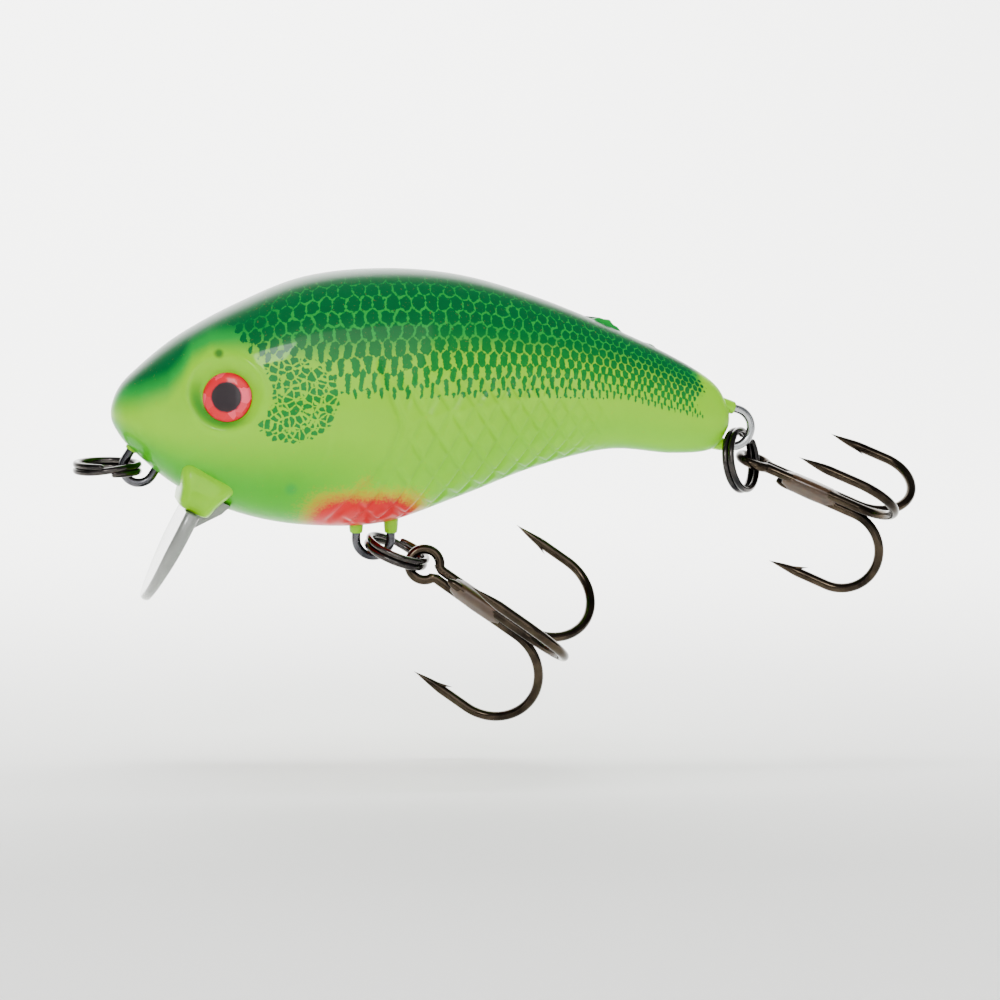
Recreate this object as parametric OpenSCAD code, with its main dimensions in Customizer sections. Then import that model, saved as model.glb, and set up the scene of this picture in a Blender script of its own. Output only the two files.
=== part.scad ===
// Crankbait lure: two moulded half shells around wire hangers, a diving lip,
// split rings and treble hooks. The line tie loop is at the origin, the snout
// points along -X, the back along +Z and the left flank faces -Y.

/* [Body] */
// Length of the moulded body from snout to tail
body_length = 57; // [54:0.5:60]
// Height of the body at its tallest point
body_height = 23.4; // [22:0.2:25]
// Width of the body across both shells
body_width = 15; // [14:0.2:17]
// Wall thickness of the moulded shells
wall = 1.2; // [1:0.1:1.5]

/* [Diving lip] */
// Radius of the round lip
lip_radius = 7; // [6:0.25:8]
// Length of the lip in front of the chin
lip_length = 9.3; // [8:0.1:10.5]
// Thickness of the lip plate
lip_thickness = 1.3; // [1:0.1:1.6]
// Slope of the lip below the horizontal, in degrees
lip_slope = 63; // [55:1:68]

/* [Eyes] */
// Diameter of the foil eye disc
eye_diameter = 4.4; // [3.6:0.1:4.8]
// Diameter of the moulded eye socket
socket_diameter = 6.6; // [6:0.1:7]

/* [Wire hangers] */
// Diameter of the hanger wire
hanger_wire_d = 0.8; // [0.7:0.05:0.85]

/* [Split rings] */
// Outside diameter of a split ring
ring_od = 6.2; // [6:0.1:6.4]
// Diameter of the split ring wire
ring_wire_d = 0.62; // [0.55:0.01:0.64]

/* [Treble hooks] */
// Diameter of the hook wire
hook_wire_d = 0.9; // [0.8:0.05:0.95]
// Length of a hook shank from the eye to the start of the bends
hook_shank = 10.6; // [9:0.1:11]
// Bend radius of the belly hook
belly_bend_r = 4.5; // [4:0.1:4.8]
// Bend radius of the tail hook
tail_bend_r = 3.7; // [3.3:0.1:4.2]

/* [Ballast and rattles] */
// Diameter of the belly ballast slug
ballast_d = 4; // [3:0.2:4.2]
// Diameter of the front rattle ball
front_ball_d = 4; // [3:0.1:4.2]
// Diameter of the rear rattle ball
rear_ball_d = 3; // [2.4:0.1:3.2]

/* [Hidden] */
$fn = 48;

// Body lines as distance behind the line tie, back, belly and half width, for
// a body 57 long, 23.4 tall and 15 wide. They are scaled to the sizes above.
body_lines = [
    [-2.5, 4.9, 4.9, 0], [-1.9, 7.0, 3.2, 2.0], [-0.3, 8.85, 1.35, 3.6],
    [3.5, 11.95, -1.7, 5.4], [9, 15.0, -4.1, 6.8], [15, 17.4, -5.2, 7.5],
    [22, 18.2, -5.0, 7.35], [29, 17.7, -2.65, 6.4], [36, 15.8, 0.05, 5.1],
    [43, 13.1, 1.75, 3.8], [49, 10.4, 1.4, 2.8], [52.8, 8.1, 1.75, 2.1],
    [54.2, 6.0, 3.4, 1.2], [54.5, 4.6, 4.6, 0]
];
last_line = len(body_lines) - 1;
x_scale = body_length / 57;
z_scale = body_height / 23.4;
y_scale = body_width / 15;
steps_per_line = 2;
side_points = 8;
fullness = 0.87;
nose_end = 0.2;
tail_end = last_line - 0.2;
cavity_start = 3.35;
cavity_end = 9.6;
past_parting = 0.5;
snug = 0.02;
big = 60;

// Eye seat on the cheek, turned to lie on the flank
eye_x = 7.5 * x_scale;
eye_z = 6.6 * z_scale;
eye_y = 6.42 * y_scale;
eye_yaw = 13;
eye_tilt = 5;
eye_thickness = 0.6;
socket_depth = 0.3;
cut_height = 3;

// Line tie, belly hanger and tail hanger loops
tie_loop_r = 1.4;
tie_angle = 58;
belly_loop_r = 1.6;
belly_loop = [21.35 * x_scale, 0, -6.5 * z_scale];
tail_loop_r = 1.77;
tail_loop = [54.9 * x_scale, 0, 3.8 * z_scale];
tail_angle = 165;
leg_length = 4.6;
foot_length = 1.1;
collar_r = 0.72;
collar_length = 1.8;
collar_flare = [0.85, 1.25];
tie_collar = 0.9;
belly_collar = 0.5;
tail_collar = 0.3;

// Each split ring: where it runs through its hanger, and how it lies
ring_r = (ring_od - ring_wire_d) / 2;
split_spread = 8;
split_gap = 0.25;
coil_press = 0.01;
nose_ring_at = [0, 0, 0];
nose_ring_turn = [-4, 180, 0];
belly_ring_at = belly_loop + [-0.45, 0, -0.2];
belly_ring_turn = [13, 20, 0];
tail_ring_at = tail_loop + [0.4, 0, -0.3];
tail_ring_turn = [38, 80, 0];

// Treble hooks: place on the ring, and how the shank points
hook_r = hook_wire_d / 2;
hook_eye_r = 1.42;
hook_slack = 0.1;
arm_pitch = hook_wire_d + 0.03;
point_length = 3;
point_back = 5.8;
point_r = 0.03;
barb_length = 1.5;
barb_lift = 28;
barb_r = hook_r * 0.6;
barb_tip_r = 0.05;
single_start = 2.6;
eye_overlap = 0.1;
belly_hook_angle = -22;
belly_hook_turn = [-12, 34.2, -13];
tail_hook_angle = 80;
tail_hook_turn = [97, 22, -25];
braze_start = 3.2;
braze_end = 8.6;
braze_fill = 0.8;
braze_gap = 0.01;

// Lip root at the chin, and the boss that holds it
lip_root = [4.65 * x_scale, 0, -3.7 * z_scale];
lip_turn = 180 - lip_slope;
lip_centre = lip_length - lip_radius;
lip_gap = 0.12;
tang_overlap = 0.5;
tang_length = 3;
tang_width = 7;
boss_width = 10.6;
boss_thickness = 3.3;
boss_length = 4;
boss_overhang = 0.1;

// Inner ribs and rattle tubes
rib_thickness = 1;
rib_start = -1;
saddles = [12, 15.6];
hanger_block = [6.8, 2.2];
hanger_block_top = -0.8;
lip_block = [8, 4.6, 4];
front_tube = [9, 19];
rear_tube = [28, 40];
front_tube_z = 8 * z_scale;
rear_tube_z = 7 * z_scale;
tube_wall = 0.6;
tube_clearance = 0.2;
front_r = front_ball_d / 2 + tube_clearance;
rear_r = rear_ball_d / 2 + tube_clearance;
ballast_span = [10.4, 17.6];
ballast_z = -1 * z_scale;
ball_start = 0.7;
pins = [[14, 14], [24, 3], [44.5, 7.5]];
pin_r = 0.8;
pin_boss_r = 1.6;
pin_length = 1.6;
pin_slack = 0.2;

// Smooth curve through four neighbouring values
function blend(a, b, c, d, f) =
    0.5 * (2 * b + (c - a) * f + (2 * a - 5 * b + 4 * c - d) * f * f
    + (3 * b - a - 3 * c + d) * f * f * f);

// A body line by number, mirrored past either end so that the ends are round
function body_line(i) =
    i < 0 ? let(p = body_lines[-i]) [p[0], p[2], p[1], -p[3]]
    : i > last_line ? let(p = body_lines[2 * last_line - i]) [p[0], p[2], p[1], -p[3]]
    : body_lines[i];

// Place, back, belly and half width at any point between the lines
function body_at(t) =
    let(i = min(floor(t), last_line - 1), f = t - i)
    blend(body_line(i - 1), body_line(i), body_line(i + 1), body_line(i + 2), f);

// Signed power, for the full oval section
function full(v) = sign(v) * pow(abs(v), fullness);

// Half section from back to belly on the +Y side, set in from the surface and
// carried on past the parting plane at either end
function half_section(t, inset) =
    let(b = body_at(t), mid = (b[1] + b[2]) / 2 * z_scale,
        tall = (b[1] - b[2]) / 2 * z_scale - inset, wide = b[3] * y_scale - inset)
    [for (k = [-1:side_points + 1]) let(a = 180 * max(0, min(1, k / side_points)))
        [b[0] * x_scale, abs(2 * k - side_points) > side_points ? -past_parting
            : abs(2 * k - side_points) == side_points ? 0 : wide * full(sin(a)),
            mid + tall * full(cos(a))]];

function sections(from, to, inset) =
    let(n = last_line * steps_per_line)
    [for (i = [0:n]) half_section(from + (to - from) * i / n, inset)];

// Solid half of the body on the +Y side, set in from the surface; its flat
// side lies a little past the parting plane at Y = 0
module half_core(from, to, inset) {
    rows = last_line * steps_per_line + 1;
    cols = side_points + 3;
    last = (rows - 1) * cols;
    flank = [for (i = [0:rows - 2], k = [0:cols - 2])
        let(p = i * cols + k, q = p + cols)
        each [[p, p + 1, q], [p + 1, q + 1, q]]];
    flat = [for (i = [0:rows - 1]) i * cols,
        for (i = [rows - 1:-1:0]) (i + 1) * cols - 1];
    nose_cap = [for (k = [cols - 1:-1:0]) k];
    tail_cap = [for (k = [0:cols - 1]) last + k];
    polyhedron([for (s = sections(from, to, inset)) each s],
        concat(flank, [flat, nose_cap, tail_cap]));
}

// Everything on the +Y side of the parting face
module right_side() {
    translate([-big / 2, 0, -big])
        cube([2 * big, big, 2 * big]);
}

// Local frame of a hanger loop, opening along +X
module at_loop(place, angle) {
    translate(place)
        rotate([0, -angle, 0])
            children();
}

// Wire loop in the XZ plane with two legs and outward feet, opening along +X
module loop_wire(loop_r, wire_r) {
    rotate([90, 0, 0])
        rotate([0, 0, 90])
            rotate_extrude(angle = 180)
                translate([loop_r, 0])
                    circle(r = wire_r);
    for (side = [-1, 1]) {
        translate([0, 0, side * loop_r])
            rotate([0, 90, 0])
                cylinder(r = wire_r, h = leg_length);
        translate([leg_length, 0, side * loop_r]) {
            sphere(r = wire_r);
            rotate([90 - side * 90, 0, 0])
                cylinder(r = wire_r, h = foot_length);
        }
    }
}

// Moulded collars where the legs of a hanger enter the body
module collars(loop_r, reach) {
    for (side = [-1, 1])
        translate([reach, 0, side * loop_r])
            rotate([0, 90, 0])
                cylinder(r1 = collar_r * collar_flare[0], r2 = collar_r * collar_flare[1], h = collar_length);
}

module all_hangers(wire_r) {
    at_loop([0, 0, 0], tie_angle) loop_wire(tie_loop_r, wire_r);
    at_loop(belly_loop, 90) loop_wire(belly_loop_r, wire_r);
    at_loop(tail_loop, tail_angle) loop_wire(tail_loop_r, wire_r);
}

// Local frame on the lip, +X down its length and +Z out of its back face
module at_lip() {
    translate(lip_root)
        rotate([0, lip_turn, 0])
            children();
}

// Local frame of the right eye, +Z out of the cheek
module at_eye() {
    translate([eye_x, eye_y, eye_z])
        rotate([eye_tilt - 90, 0, eye_yaw])
            children();
}

module x_tube(span, r) {
    translate([span[0], 0, 0])
        rotate([0, 90, 0])
            cylinder(r = r, h = span[1] - span[0]);
}

// Bulkheads, ballast saddles, rattle tubes, hanger block and pin bosses
module inner_ribs() {
    for (x = [front_tube[0], front_tube[1], rear_tube[0], rear_tube[1]])
        translate([x * x_scale - rib_thickness / 2, rib_start, -big / 2])
            cube([rib_thickness, big, big]);
    for (x = saddles)
        translate([x * x_scale, rib_start, -big / 2])
            cube([rib_thickness, big, big / 2 + ballast_z]);
    translate([belly_loop[0] - hanger_block[0] / 2, rib_start, -big / 2])
        cube([hanger_block[0], hanger_block[1] - rib_start, big / 2 + hanger_block_top]);
    for (p = pins)
        translate([p[0] * x_scale, rib_start, p[1] * z_scale])
            rotate([-90, 0, 0])
                cylinder(r = pin_boss_r, h = big);
    at_lip()
        translate([-lip_block[0] + tang_length, rib_start, -lip_block[2] / 2])
            cube(lip_block - [0, rib_start, 0]);
    translate([0, 0, front_tube_z])
        x_tube(front_tube * x_scale, front_r + tube_wall);
    translate([0, 0, rear_tube_z])
        x_tube(rear_tube * x_scale, rear_r + tube_wall);
}

// Half shell on the +Y side, before its pins or sockets
module half_shell() {
    difference() {
        intersection() {
            right_side();
            union() {
                half_core(nose_end, tail_end, 0);
                at_lip()
                    translate([-boss_length, rib_start, -boss_thickness / 2])
                        cube([boss_length + boss_overhang, boss_width / 2 - rib_start, boss_thickness]);
                at_loop([0, 0, 0], tie_angle) collars(tie_loop_r, tie_collar);
                at_loop(belly_loop, 90) collars(belly_loop_r, belly_collar);
                at_loop(tail_loop, tail_angle) collars(tail_loop_r, tail_collar);
            }
        }
        difference() {
            half_core(cavity_start, cavity_end, wall);
            inner_ribs();
        }
        all_hangers(hanger_wire_d / 2 + snug);
        at_lip()
            translate([-tang_length - snug, rib_start, -lip_thickness / 2 - snug])
                cube([2 * tang_length, tang_width / 2 + snug - rib_start, lip_thickness + 2 * snug]);
        at_eye() {
            translate([0, 0, -socket_depth])
                cylinder(d = socket_diameter, h = cut_height);
            translate([0, 0, -socket_depth - eye_thickness])
                cylinder(d = eye_diameter + 2 * snug, h = cut_height);
        }
        translate([0, 0, front_tube_z])
            x_tube(front_tube * x_scale + [rib_thickness, -rib_thickness] / 2, front_r);
        translate([0, 0, rear_tube_z])
            x_tube(rear_tube * x_scale + [rib_thickness, -rib_thickness] / 2, rear_r);
        translate([0, 0, ballast_z])
            x_tube(ballast_span * x_scale + [-snug, snug], ballast_d / 2 + snug);
    }
}

module pin_set(r, h) {
    for (p = pins)
        translate([p[0] * x_scale, 0, p[1] * z_scale])
            rotate([-90, 0, 0])
                cylinder(r = r, h = h);
}

module left_shell() {
    color("#8fcc3c") {
        mirror([0, 1, 0])
            half_shell();
        translate([0, -past_parting, 0])
            pin_set(pin_r, pin_length + past_parting);
    }
}

module right_shell() {
    color("#8fcc3c")
        difference() {
            half_shell();
            translate([0, -past_parting, 0])
                pin_set(pin_r + snug, pin_length + pin_slack + past_parting);
        }
}

module right_eye() {
    color("#e8345a")
        at_eye()
            translate([0, 0, -socket_depth - eye_thickness])
                cylinder(d = eye_diameter, h = eye_thickness);
}

module left_eye() {
    mirror([0, 1, 0])
        right_eye();
}

// Round lip plate with a tang into the chin
module diving_lip() {
    color("#b9bcbb", 0.6)
        at_lip() {
            translate([0, 0, -lip_thickness / 2])
                linear_extrude(lip_thickness)
                    intersection() {
                        translate([lip_centre, 0])
                            circle(r = lip_radius);
                        translate([lip_gap, -big / 2])
                            square(big);
                    }
            translate([-tang_length, -tang_width / 2, -lip_thickness / 2])
                cube([tang_length + tang_overlap, tang_width, lip_thickness]);
        }
}

module line_tie_wire() {
    color("#6f7173")
        at_loop([0, 0, 0], tie_angle)
            loop_wire(tie_loop_r, hanger_wire_d / 2);
}

module belly_hanger_wire() {
    color("#57585c")
        at_loop(belly_loop, 90)
            loop_wire(belly_loop_r, hanger_wire_d / 2);
}

module tail_hanger_wire() {
    color("#9b9da0")
        at_loop(tail_loop, tail_angle)
            loop_wire(tail_loop_r, hanger_wire_d / 2);
}

module ballast_weight() {
    color("#7c7f84")
        translate([0, 0, ballast_z])
            x_tube(ballast_span * x_scale, ballast_d / 2);
}

module front_rattle_ball() {
    color("#c7c9cc")
        translate([(front_tube[0] + ball_start) * x_scale + front_ball_d / 2, 0, front_tube_z])
            sphere(d = front_ball_d);
}

module rear_rattle_ball() {
    color("#c7c9cc")
        translate([(rear_tube[0] + ball_start) * x_scale + rear_ball_d / 2, 0, rear_tube_z])
            sphere(d = rear_ball_d);
}

// Split ring of two stacked coils; the hanger end of the ring is at the origin
// and split_at is where the two free ends of the wire are
module split_ring(split_at) {
    wire_r = ring_wire_d / 2;
    lift = wire_r - coil_press;
    translate([ring_r, 0, 0])
        rotate([0, 0, split_at])
            difference() {
                rotate_extrude()
                    for (side = [-1, 1])
                        translate([ring_r, side * lift])
                            circle(r = wire_r);
                for (side = [-1, 1])
                    rotate([0, 0, side * split_spread])
                        translate([ring_r, 0, side * (wire_r + snug)])
                            cube([1, split_gap, 2 * wire_r], center = true);
            }
}

module nose_split_ring() {
    color("#5b5c60")
        translate(nose_ring_at)
            rotate(nose_ring_turn)
                split_ring(-90);
}

module belly_split_ring() {
    color("#3b3c40")
        translate(belly_ring_at)
            rotate(belly_ring_turn)
                split_ring(90);
}

module tail_split_ring() {
    color("#4a4b4f")
        translate(tail_ring_at)
            rotate(tail_ring_turn)
                split_ring(130);
}

// Turn a point the way rotate() turns a shape
function turn_x(p, a) =
    [p[0], p[1] * cos(a) - p[2] * sin(a), p[1] * sin(a) + p[2] * cos(a)];
function turn_y(p, a) =
    [p[0] * cos(a) + p[2] * sin(a), p[1], p[2] * cos(a) - p[0] * sin(a)];
function turn_z(p, a) =
    [p[0] * cos(a) - p[1] * sin(a), p[0] * sin(a) + p[1] * cos(a), p[2]];
function turn(p, angles) = turn_z(turn_y(turn_x(p, angles[0]), angles[1]), angles[2]);

// Centre of a hook eye, from the place on its ring that the eye is threaded on
function hook_at(ring_at, ring_turn, ring_angle, hook_turn) =
    ring_at
    + turn([ring_r * (1 + cos(ring_angle)), ring_r * sin(ring_angle), 0], ring_turn)
    + turn([hook_slack, 0, 0], hook_turn);

module at_belly_hook() {
    translate(hook_at(belly_ring_at, belly_ring_turn, belly_hook_angle, belly_hook_turn))
        rotate(belly_hook_turn)
            children();
}

module at_tail_hook() {
    translate(hook_at(tail_ring_at, tail_ring_turn, tail_hook_angle, tail_hook_turn))
        rotate(tail_hook_turn)
            children();
}

// One arm of a hook in the XZ plane: shank on the X axis, bend towards +Z,
// then the spear, its point and the barb on the inner side
module hook_arm(start, bend_r) {
    spear_end = hook_shank - point_back;
    translate([start, 0, 0])
        rotate([0, 90, 0])
            cylinder(r = hook_r, h = hook_shank - start);
    translate([hook_shank, 0, bend_r])
        rotate([90, 0, 0])
            rotate([0, 0, -90])
                rotate_extrude(angle = 180)
                    translate([bend_r, 0])
                        circle(r = hook_r);
    translate([spear_end + point_length, 0, 2 * bend_r])
        rotate([0, 90, 0])
            cylinder(r = hook_r, h = point_back - point_length);
    translate([spear_end, 0, 2 * bend_r])
        rotate([0, 90, 0])
            cylinder(r1 = point_r, r2 = hook_r, h = point_length);
    translate([spear_end + point_length - barb_length / 2, 0, 2 * bend_r])
        rotate([0, 90 + barb_lift, 0])
            cylinder(r1 = barb_r, r2 = barb_tip_r, h = barb_length);
}

// Single arm, lying against the pair on its -Y side
module single_arm(bend_r) {
    translate([0, -arm_pitch * cos(30), 0])
        rotate([90, 0, 0])
            hook_arm(single_start, bend_r);
}

// Eye and the two arms bent from the same wire
module double_arms(bend_r) {
    rotate([90, 0, 0])
        rotate_extrude()
            translate([hook_eye_r, 0])
                circle(r = hook_r);
    for (side = [-1, 1])
        translate([0, 0, side * arm_pitch / 2])
            rotate([90 - side * 120, 0, 0])
                hook_arm(hook_eye_r - eye_overlap, bend_r);
}

// Braze that joins the single arm to the pair
module braze() {
    translate([braze_start, -arm_pitch * tan(30) / 2, 0])
        rotate([0, 90, 0])
            difference() {
                cylinder(r = arm_pitch * tan(30) + hook_r * braze_fill, h = braze_end - braze_start);
                for (a = [30, 150, 270])
                    rotate([0, 0, a])
                        translate([arm_pitch / sqrt(3), 0, -1])
                            cylinder(r = hook_r + braze_gap, h = hook_shank);
            }
}

module belly_hook_double() {
    color("#4b3f2c")
        at_belly_hook()
            double_arms(belly_bend_r);
}

module belly_hook_single() {
    color("#4b3f2c")
        at_belly_hook()
            single_arm(belly_bend_r);
}

module belly_hook_braze() {
    color("#5a3c14")
        at_belly_hook()
            braze();
}

module tail_hook_double() {
    color("#4b3f2c")
        at_tail_hook()
            double_arms(tail_bend_r);
}

module tail_hook_single() {
    color("#4b3f2c")
        at_tail_hook()
            single_arm(tail_bend_r);
}

module tail_hook_braze() {
    color("#5a3c14")
        at_tail_hook()
            braze();
}

left_shell();
right_shell();
left_eye();
right_eye();
diving_lip();
line_tie_wire();
belly_hanger_wire();
tail_hanger_wire();
ballast_weight();
front_rattle_ball();
rear_rattle_ball();
nose_split_ring();
belly_split_ring();
tail_split_ring();
belly_hook_double();
belly_hook_single();
belly_hook_braze();
tail_hook_double();
tail_hook_single();
tail_hook_braze();
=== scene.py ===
"""Crankbait lure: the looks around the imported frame, laid out as a Blender add-on and run as a script."""

import math

import bmesh
import bpy
import numpy as np
from mathutils import Matrix, Vector


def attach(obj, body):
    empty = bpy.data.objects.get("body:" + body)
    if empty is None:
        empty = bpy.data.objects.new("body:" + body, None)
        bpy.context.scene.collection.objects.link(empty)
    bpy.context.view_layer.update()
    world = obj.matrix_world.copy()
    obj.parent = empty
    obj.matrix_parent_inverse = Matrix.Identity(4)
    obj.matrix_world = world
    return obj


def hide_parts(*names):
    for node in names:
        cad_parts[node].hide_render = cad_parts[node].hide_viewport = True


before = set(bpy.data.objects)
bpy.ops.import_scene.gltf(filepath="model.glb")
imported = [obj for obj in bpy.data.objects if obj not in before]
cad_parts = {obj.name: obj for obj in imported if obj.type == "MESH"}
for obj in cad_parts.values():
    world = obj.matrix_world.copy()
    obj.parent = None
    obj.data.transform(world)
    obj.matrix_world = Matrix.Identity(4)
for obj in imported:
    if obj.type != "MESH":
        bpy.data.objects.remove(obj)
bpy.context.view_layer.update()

bl_info = {
    "name": "Crankbait Lure",
    "version": (1, 0, 0),
    "blender": (4, 5, 0),
    "location": "3D View > Sidebar > Lure",
    "description": "Painted body, foil eyes, clear lip, split rings and treble hooks",
    "category": "Object",
}

MM = 0.001

# Body lines, in millimetres: place, back, belly and half width
BODY_LINES = np.array([
    [-2.5, 4.9, 4.9, 0], [-1.9, 7.0, 3.2, 2.0], [-0.3, 8.85, 1.35, 3.6],
    [3.5, 11.95, -1.7, 5.4], [9, 15.0, -4.1, 6.8], [15, 17.4, -5.2, 7.5],
    [22, 18.2, -5.0, 7.35], [29, 17.7, -2.65, 6.4], [36, 15.8, 0.05, 5.1],
    [43, 13.1, 1.75, 3.8], [49, 10.4, 1.4, 2.8], [52.8, 8.1, 1.75, 2.1],
    [54.2, 6.0, 3.4, 1.2], [54.5, 4.6, 4.6, 0],
])
FULLNESS = 0.87
WALL = 1.2
CAVITY = (3.35, 9.6)
ROW_COUNT, SIDE_COUNT, INNER_COUNT = 400, 176, 24
SCALE_PITCH = 1.2
SCALE_ROWS = 18.5
HEX_ROW = math.sqrt(3) / 2
BACK_HEIGHT = 23.2

# Places on the body, in millimetres
EYE_CENTRE = (7.4, 6.9)
EYE_SEAT = (7.5, 6.42, 6.6)
EYE_LEAN, EYE_YAW = math.radians(5 - 90), math.radians(13)
GILL_LINE = [(21.2, 9.5), (22.3, 6.3), (23.0, 4.4), (22.4, 2.2), (20.9, -0.4), (18.4, -3.0), (17.0, -4.6)]
CREASE_LINE = [(22.4, 4.2), (27, 5.2), (31, 6.0), (36, 6.9), (41, 7.4)]
CHEEK_ARC = [(16.6, 3.2), (16.2, 1.4), (15.2, 0.4), (13.6, -0.4)]
CHEEK_PATCH, CHEEK_REACH = (13.3, 6.4), (4.3, 4.0)
FLASH_STREAK = [(15.5, -4.6), (18.2, -2.8), (20.0, -1.0)]
# Nubs on the back: place, half length and rise
BACK_NUBS = [(42.3, 0.75, 0.42), (43.3, 0.7, 0.3), (47.0, 0.35, 0.12)]

# Paint lines, in millimetres: places along the body, then a height or a width at each
BACK_EDGE = ([-2.5, 0, 2.4, 3.6, 4.6, 6.2, 9, 14, 22, 30, 38, 44, 49, 51.5, 54.5],
             [5.5, 5.9, 6.8, 8.2, 10.0, 11.0, 11.0, 10.6, 10.8, 11.2, 10.8, 9.9, 8.2, 7.2, 6.4])
BACK_SOFTNESS = ([-2.5, 3, 6, 12, 54], [1.3, 1.2, 0.7, 1.6, 1.2])
NET_LOW = ([10, 16, 18, 22, 33, 44, 52], [9.2, 8.0, 6.4, 6.3, 6.5, 6.3, 4.4])
NET_HIGH = ([8, 14, 22, 30, 38, 44, 50, 54], [13.4, 16.2, 17.4, 16.9, 14.8, 12.6, 10.0, 8.4])
# Cells of the net: rise from its low line (0) to its high line (1), then the part of a cell that is dark
CELL_WIDTH = ([0, 0.18, 0.36, 0.6, 1.0], [0.13, 0.21, 0.34, 0.43, 0.48])
CELL_HEIGHT = ([0, 0.3, 0.6, 1.0, 1.2], [0.50, 0.50, 0.44, 0.48, 0.66])

# Lip and its boss, in millimetres from the lip's root
LIP_ROOT = (4.65, 0, -3.7)
LIP_TURN = math.radians(180 - 63)
LIP_R, LIP_RIM_R, LIP_CENTRE, LIP_EDGE = 7, 6.98, 2.3, 0.12
LIP_COLUMNS, LIP_CHORD_COLUMNS = 160, 24
# Half section of the lip: share of the outline, then half thickness
LIP_RIM = [(0.0, 0.62), (0.55, 0.62), (0.90, 0.62), (0.93, 0.65), (0.955, 0.64), (0.98, 0.55), (0.994, 0.36),
           (1.0, 0.12)]
TANG = (-2.98, 0.3), (-3.48, 3.48), (-0.63, 0.63)
WEB_LINE = [(-1.9, 0.5), (-1.9, 2.9), (-0.9, 2.5), (0.1, 1.75), (1.2, 0.95), (1.9, 0.5)]
WEB_HALF = 3.4
# Boss: place along the lip, half width and half thickness
BOSS_PROFILE = [(-4.2, 4.6, 3.0), (-3.0, 5.1, 2.7), (-2.4, 5.25, 2.4), (-1.7, 5.3, 2.05), (-1.1, 5.3, 1.82),
                (-0.5, 5.3, 1.68), (-0.15, 5.22, 1.55), (0.04, 4.95, 1.25), (0.08, 4.2, 0.5)]
BOSS_COLUMNS, BOSS_SQUARENESS = 96, 0.35

# Wire hangers, in millimetres: loop centre, angle, loop radius and where the collars start
HANGERS = [((0, 0, 0), 58, 1.4, 0.9), ((21.35, 0, -6.5), 90, 1.6, 0.5), ((54.9, 0, 3.8), 165, 1.77, 0.3)]
HANGER_WIRE_R, LEG_END, FOOT_BEND, FOOT_END = 0.4, 4.2, 0.4, 1.1
# Collar round a hanger leg: place along the leg and radius
COLLAR_PROFILE = [(-0.02, 0.42), (0.0, 0.5), (0.08, 0.58), (0.5, 0.64), (1.1, 0.68), (1.5, 0.7), (1.55, 0.3)]
COLLAR_COLUMNS = 32

# How each split ring lies, as in the frame: body, place, turn and the angle where its wire ends
RINGS = {
    "nose_split_ring": ("nose_ring", (0, 0, 0), (-4, 180, 0), -90),
    "belly_split_ring": ("belly_ring", (20.9, 0, -6.7), (13, 20, 0), 90),
    "tail_split_ring": ("tail_ring", (55.3, 0, 3.5), (38, 80, 0), 130),
}
RING_R, RING_WIRE_R, COIL_LIFT = 2.79, 0.305, 0.295

# Each hook, as in the frame: its ring, the angle where it hangs on it, its turn and its bend radius
HOOKS = {
    "belly_hook": ("belly_split_ring", -22, (-12, 34.2, -13), 4.5),
    "tail_hook": ("tail_split_ring", 80, (97, 22, -25), 3.7),
}
HOOK_SLACK = 0.1
HOOK_WIRE_R, BARB_R, HOOK_EYE_R, EYE_GAP = 0.448, 0.26, 1.42, 0.46
SHANK_OFFSET, SHANK_END, SPEAR_LENGTH, NEEDLE = 0.465, 10.6, 5.8, 3.0
BRAZE_START, BRAZE_LENGTH, BRAZE_DROP = 3.2, 5.4, 0.268

# Stage sweep, in millimetres
SWEEP_HALF, FLOOR_Z, CURVE_START, CURVE_R, WALL_TOP = 2500, -27, 300, 250, 1800


# ---------------------------------------------------------------- colours and nodes

def linear(hex_colour, alpha=1.0):
    """An sRGB hex colour as linear RGBA."""
    parts = [int(hex_colour[i:i + 2], 16) / 255 for i in (1, 3, 5)]
    return (*[c / 12.92 if c <= 0.04045 else ((c + 0.055) / 1.055) ** 2.4 for c in parts], alpha)


def put(tree, kind, inputs=(), out=0, **settings):
    """Add a node, set it, link or fill its inputs, and give back one of its outputs."""
    made = tree.nodes.new(kind)
    for name, value in settings.items():
        setattr(made, name, value)
    pairs = inputs.items() if isinstance(inputs, dict) else enumerate(inputs)
    for key, value in pairs:
        if isinstance(value, bpy.types.NodeSocket):
            tree.links.new(value, made.inputs[key])
        elif value is not None:
            made.inputs[key].default_value = value
    return made.outputs[out] if made.outputs else made


def surface(name, finish, build):
    """A material with a Principled shader: finish sets its sockets, build links its patterns."""
    material = bpy.data.materials.new(name)
    material.use_nodes = True
    tree = material.node_tree
    tree.nodes.clear()
    shader = tree.nodes.new("ShaderNodeBsdfPrincipled")
    for key, value in finish.items():
        shader.inputs[key].default_value = value
    out = tree.nodes.new("ShaderNodeOutputMaterial")
    tree.links.new(shader.outputs[0], out.inputs["Surface"])
    place = put(tree, "ShaderNodeTexCoord", out=3)
    millimetres = put(tree, "ShaderNodeVectorMath", {0: place, "Scale": 1000}, operation="SCALE")
    for key, socket in build(tree, millimetres).items():
        tree.links.new(socket, shader.inputs[key])
    return material


def noise(tree, mm_vector, scale, detail=2.0, out=0, **more):
    """Noise with so many lumps to the millimetre."""
    given = {"Vector": mm_vector, "Scale": scale, "Detail": detail, **more}
    return put(tree, "ShaderNodeTexNoise", given, out)


def ranged(tree, value, low=0.0, high=1.0, to=(0.0, 1.0)):
    """A value stretched from low and high to a new range, and held within it."""
    return put(tree, "ShaderNodeMapRange", {"Value": value, "From Min": low, "From Max": high,
                                            "To Min": to[0], "To Max": to[1]})


def mixed(tree, factor, low, high):
    """A colour between low, at 0, and high, at 1."""
    return put(tree, "ShaderNodeMix", {0: factor, 6: low, 7: high}, out=2, data_type="RGBA")


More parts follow.
